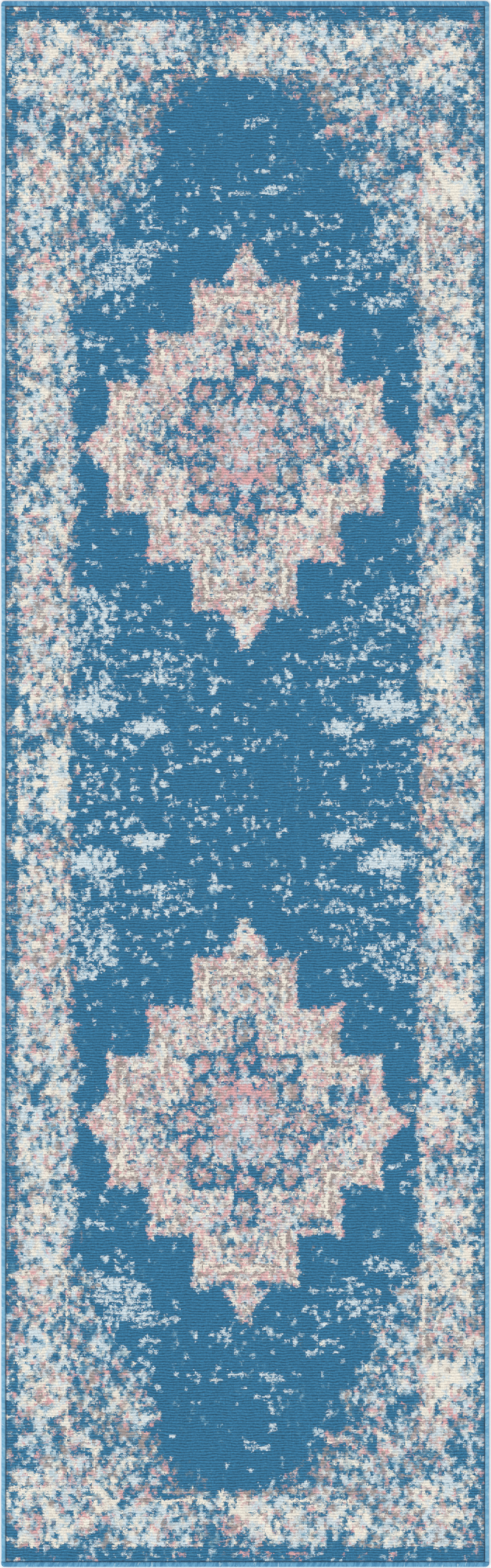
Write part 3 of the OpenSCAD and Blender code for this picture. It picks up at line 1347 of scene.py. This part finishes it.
@dataclass
class EdgeWork:
    """Something that runs along all four edges: four pieces on each long side and one across each end."""

    layout: Layout
    name: str
    node: str
    finish: YarnFinish
    end_finish: YarnFinish

    def build(self) -> None:
        """Builds the pieces of both sides, then of both ends, puts each end under its end's body, and hides
        the CAD nodes that the pieces replace.
        """
        material = self.finish.material()
        for side in (Rim.LEFT, Rim.RIGHT):
            for stretch in Stretch.all(self.layout):
                shell = self.along_side(side.sign, stretch)
                piece = shell.build(f"{self.name}_{side.label}_{stretch.name}", material)
                stretch.hang(piece, self.layout, f"{self.node}_{side.label}_{stretch.part}")
                self._report(piece)
        if self.end_finish is not self.finish:
            material = self.end_finish.material()
        for end in (Rim.NEAR, Rim.FAR):
            piece = self.across_end(end.sign).build(f"{self.name}_across_{end.label}", material)
            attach(piece, f"{end.label}_end")
            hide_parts(f"{self.node}_end_{end.label}")
            self._report(piece)

    def _report(self, piece: bpy.types.Object) -> None:
        """Reports a piece's number of faces."""
        log.info("%s: %d faces", piece.name, len(piece.data.polygons))

    def along_side(self, sign: int, stretch: Stretch) -> Shell:
        """Shapes one stretch of a long side."""
        raise NotImplementedError

    def across_end(self, sign: int) -> Shell:
        """Shapes one end."""
        raise NotImplementedError


@dataclass
class Serging(EdgeWork):
    """Yarn wrapped round the four edges, wrap beside wrap."""

    pitch: float = 1.9
    rows_per_wrap: int = 4
    columns: int = 20
    squareness: float = 0.78
    ridge: float = 0.11
    slant: float = 0.50

    def _wraps(self, low: float, high: float, seed: int) -> tuple[np.ndarray, np.ndarray, np.ndarray]:
        """Spaces wraps between two places.

        Args:
            low: Where the first wrap starts.
            high: Where the last wrap ends.
            seed: Where the random sizes start.

        Returns:
            The place of each row, its count of wraps, and each row's size as a share of the full one.
        """
        wraps = round((high - low) / self.pitch)
        count = np.arange(wraps * self.rows_per_wrap + 1) / self.rows_per_wrap
        place = low + (high - low) * count / wraps
        proud = np.random.default_rng(abs(seed)).uniform(0.55, 1.0, wraps + 1)[count.astype(int)]
        crest = 0.5 - 0.5 * np.cos(2 * math.pi * count)
        return place, count, (1 - self.ridge * (1 - crest * proud))[:, None]

    def along_side(self, sign: int, stretch: Stretch) -> Shell:
        """Wraps one stretch of a long side.

        Args:
            sign: -1 on the left side and 1 on the right.
            stretch: Which stretch.

        Returns:
            The wrapped edge.
        """
        layout = self.layout
        low, high = stretch.span(layout, layout.edge_end)
        place, count, size = self._wraps(low, high, seed=40 + sign + stretch.first)
        half = (layout.half_w - layout.edge_in) / 2
        middle = (layout.half_w + layout.edge_in) / 2
        rise = layout.serging_top / 2
        ring = around(self.columns, self.squareness)
        profile = np.stack([ring[:, 0] * half * size, ring[:, 1] * rise * size], axis=-1)
        path = np.stack([np.full_like(place, sign * middle), place, np.full_like(place, rise)], axis=1)
        path[:, 0] += drift(place, 3, ((190, 0.10), (47, 0.07)))
        points = sweep(path, profile)
        points[..., 0] = np.clip(points[..., 0], -layout.half_w, layout.half_w)
        lean = np.minimum(1.0, (layout.edge_end - np.abs(place)) / 3.0)[:, None]
        points[..., 1] += self.slant * self.pitch * sign * ring[:, 0] * lean
        return self._shell(points, place, count)

    def across_end(self, sign: int) -> Shell:
        """Wraps one end, with its two corners rounded.

        Args:
            sign: -1 at the near end and 1 at the far.

        Returns:
            The wrapped edge.
        """
        layout = self.layout
        place, count, size = self._wraps(-layout.half_w, layout.half_w, seed=60 + sign)
        past = np.clip(np.abs(place) - (layout.half_w - layout.corner), 0, layout.corner)
        cut = layout.corner - np.sqrt(layout.corner**2 - np.minimum(past, layout.corner * 0.999) ** 2)
        width = layout.half_l - layout.edge_end - cut
        tip = np.sqrt(np.clip((layout.half_w - np.abs(place)) / 1.2, 0.12, 1.0))[:, None]
        rise = layout.serging_top / 2
        ring = around(self.columns, self.squareness)
        sideways, upward = ring[:, 0] * (width / 2)[:, None] * size, ring[:, 1] * rise * size * tip
        profile = np.stack([sideways, upward], axis=-1)
        inner = np.full_like(place, sign * layout.edge_end)
        points = sweep(np.stack([place, inner, np.full_like(place, rise)], axis=1), profile)
        points[..., 1] += (sign * width / 2)[:, None]
        lean = np.minimum(1.0, (layout.half_w - np.abs(place)) / 6.0)[:, None]
        points[..., 0] += self.slant * self.pitch * sign * ring[:, 0] * lean
        return self._shell(points, place, count)

    def _shell(self, points: np.ndarray, place: np.ndarray, count: np.ndarray) -> Shell:
        """Joins the points and the maps of one wrapped edge.

        Args:
            points: Rows of wraps.
            place: Each row's place along the edge.
            count: Each row's count of wraps.

        Returns:
            The wrapped edge.
        """
        girth = 2.6 * self.layout.serging_top
        maps = {"fabric": girth_map(place, self.columns, girth)}
        maps["weave"] = girth_map(count, self.columns, 1.0)
        return Shell(points, maps, closed=True)


@dataclass
class Strands(EdgeWork):
    """A strand along all four edges: the filler cord in the serging, or the needle thread beside it."""

    radius: float
    from_side: float
    from_end: float
    height: float
    plies: int
    twist: float
    step: float
    columns: int
    dip: float = 0.0
    stitch: float = 2.9

    def along_side(self, sign: int, stretch: Stretch) -> Shell:
        """Runs a strand along one stretch of a long side.

        Args:
            sign: -1 on the left side and 1 on the right.
            stretch: Which stretch.

        Returns:
            The strand.
        """
        layout = self.layout
        end = layout.half_l - max(self.from_end, layout.end_serging) - 0.2
        rows = self._rows(*stretch.span(layout, end))
        return self._strand((np.full_like(rows, sign * (layout.half_w - self.from_side)), rows), rows)

    def across_end(self, sign: int) -> Shell:
        """Runs a strand across one end.

        Args:
            sign: -1 at the near end and 1 at the far.

        Returns:
            The strand.
        """
        across = self.layout.half_w - self.from_side
        rows = self._rows(-across, across)
        return self._strand((rows, np.full_like(rows, sign * (self.layout.half_l - self.from_end))), rows)

    def _rows(self, low: float, high: float) -> np.ndarray:
        """Spaces the rows of a strand."""
        return np.linspace(low, high, round((high - low) / self.step) + 1)

    def _strand(self, place: tuple[np.ndarray, np.ndarray], rows: np.ndarray) -> Shell:
        """Twists the strand's plies round its middle, and dips it between stitches.

        Args:
            place: The x and y of its middle, row by row.
            rows: The length from the start of the edge, row by row.

        Returns:
            The strand.
        """
        path = np.stack([*place, np.full_like(rows, self.height)], axis=1)
        turn = np.arange(self.columns) * 2 * math.pi / self.columns
        angle = turn[None, :] - (rows / self.twist * 2 * math.pi)[:, None]
        swell = 1 - 0.16 * (0.5 + 0.5 * np.cos(self.plies * angle))
        dipped = self.dip * (0.5 + 0.5 * np.cos(rows / self.stitch * 2 * math.pi))
        reach = self.radius * swell * (1 - 0.3 * dipped)[:, None]
        profile = around(self.columns)[None] * reach[..., None]
        profile[..., 1] -= (dipped * self.radius)[:, None]
        profile[..., 0] += drift(rows, 9, ((23, 0.12), (7, 0.06)))[:, None] * self.dip
        girth = 2 * math.pi * self.radius
        maps = {"fabric": girth_map(rows, self.columns, girth)}
        maps["weave"] = girth_map(rows / self.stitch, self.columns, 1.0)
        return Shell(sweep(path, profile), maps, closed=True)


@dataclass
class Studio:
    """The floor, the light and the camera."""

    layout: Layout
    finish: FloorFinish
    floor_half: float = 90.0
    floor_drop: float = 0.3
    view_height: float = 2.2113
    view_x: float = 0.0004
    lens: float = 100.0
    film: float = 36.0
    sky: float = 0.78
    lamp: float = 1.0
    lamp_angle: float = 40.0
    lamp_tilt: Pair = (18.0, -14.0)

    def build(self) -> None:
        """Sets up the floor, the sky, the lamp and the camera."""
        self._floor()
        self._sky()
        self._lamp()
        self._camera()

    def _floor(self) -> None:
        """Lays the floor just under the rug."""
        place = np.linspace(-self.floor_half, self.floor_half, 3) / MM
        x, y = np.meshgrid(place, place)
        points = np.stack([x, y, np.full_like(x, -self.floor_drop)], axis=-1)
        floor = Shell(points, {"fabric": points[..., :2]}).build("floor", self.finish.material())

    def _sky(self) -> None:
        """Lights the room evenly from all round."""
        world = bpy.data.worlds.new("studio")
        world.use_nodes = True
        sky = world.node_tree.nodes["Background"]
        sky.inputs["Color"].default_value = (1.0, 1.0, 1.0, 1.0)
        sky.inputs["Strength"].default_value = self.sky
        bpy.context.scene.world = world

    def _lamp(self) -> None:
        """Hangs a wide, soft lamp overhead."""
        data = bpy.data.lights.new("softbox", "SUN")
        data.energy = self.lamp
        data.angle = math.radians(self.lamp_angle)
        lamp = bpy.data.objects.new("softbox", data)
        lamp.rotation_euler = [math.radians(angle) for angle in (*self.lamp_tilt, 0.0)]
        bpy.context.scene.collection.objects.link(lamp)

    def _camera(self) -> None:
        """Looks straight down from above the middle, with view_height metres of the rug in view."""
        data = bpy.data.cameras.new("camera")
        data.lens = self.lens
        data.sensor_width = self.film
        camera = bpy.data.objects.new("camera", data)
        rise = self.view_height * self.lens / self.film
        camera.location = (self.view_x, 0.0, self.layout.pile_top * MM + rise)
        scene = bpy.context.scene
        scene.collection.objects.link(camera)
        scene.camera = camera
        scene.view_settings.view_transform = "Standard"


def cloth_layers(layout: Layout, colors: np.ndarray) -> list[Slab]:
    """Lists the two layers under the pile, from the top down.

    Args:
        layout: The rug's sizes.
        colors: The cartoon's colours, which show through the latex.

    Returns:
        The ground cloth and the latex back.
    """
    ground = ClothFinish("ground_cloth", warp=(0.80, 0.77, 0.70), weft=(0.62, 0.58, 0.50), ghost=0.0)
    latex = ClothFinish("latex_back", warp=(0.70, 0.65, 0.56), weft=(0.83, 0.79, 0.71), ghost=0.38)
    return [
        Slab(layout, ground, "ground", bottom=layout.backing_top, top=layout.ground_top,
             half_w=layout.ground_half_w, half_l=layout.ground_half_l, columns=34, ridge=0.25,
             rests=latex.name),
        Slab(layout, latex, "backing", bottom=0.0, top=layout.backing_top,
             half_w=layout.edge_in, half_l=layout.edge_end, columns=85, ridge=0.3, colors=colors),
    ]


def edge_works(layout: Layout) -> list[EdgeWork]:
    """Lists what runs round the edges.

    Args:
        layout: The rug's sizes.

    Returns:
        The serging, the needle thread and the filler cord.
    """
    sides = YarnFinish("serging_yarn", dark=(0.42, 0.68, 0.83), light=(0.53, 0.76, 0.88),
                       fleck=(0.72, 0.85, 0.92), valley=0.30)
    ends = YarnFinish("serging_yarn_ends", dark=(0.30, 0.57, 0.74), light=(0.43, 0.69, 0.84),
                      fleck=(0.66, 0.82, 0.90), valley=0.32)
    thread = YarnFinish("needle_thread", dark=(0.12, 0.27, 0.40), light=(0.20, 0.42, 0.56),
                        fleck=(0.40, 0.55, 0.65), valley=0.45)
    cord = YarnFinish("filler_cord", dark=(0.80, 0.76, 0.68), light=(0.90, 0.87, 0.80),
                      fleck=(0.70, 0.66, 0.58), valley=0.30)
    return [
        Serging(layout, "serging", "serging", sides, ends),
        Strands(layout, "needle_thread", "thread", thread, thread, radius=0.42, from_side=7.05,
                from_end=8.55, height=5.47, plies=2, twist=1.6, step=0.7, columns=8, dip=0.6),
        Strands(layout, "filler_cord", "cord", cord, cord, radius=1.75, from_side=2.8, from_end=2.8,
                height=3.2, plies=3, twist=9.0, step=2.0, columns=9),
    ]


def main() -> None:
    """Builds the studio and the rug, layer by layer."""
    logging.basicConfig(level=logging.INFO, format="%(name)s: %(message)s")
    layout = Layout.from_frame()
    Studio(layout, FloorFinish()).build()
    colors = Cartoon(layout).weave()
    log.info("cartoon: %d ribs of %d tufts", *colors.shape[:2])
    Pile(layout, PileFinish(), colors).build()
    for assembly in cloth_layers(layout, colors) + edge_works(layout):
        assembly.build()
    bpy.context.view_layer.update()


if __name__ == "__main__":
    main()
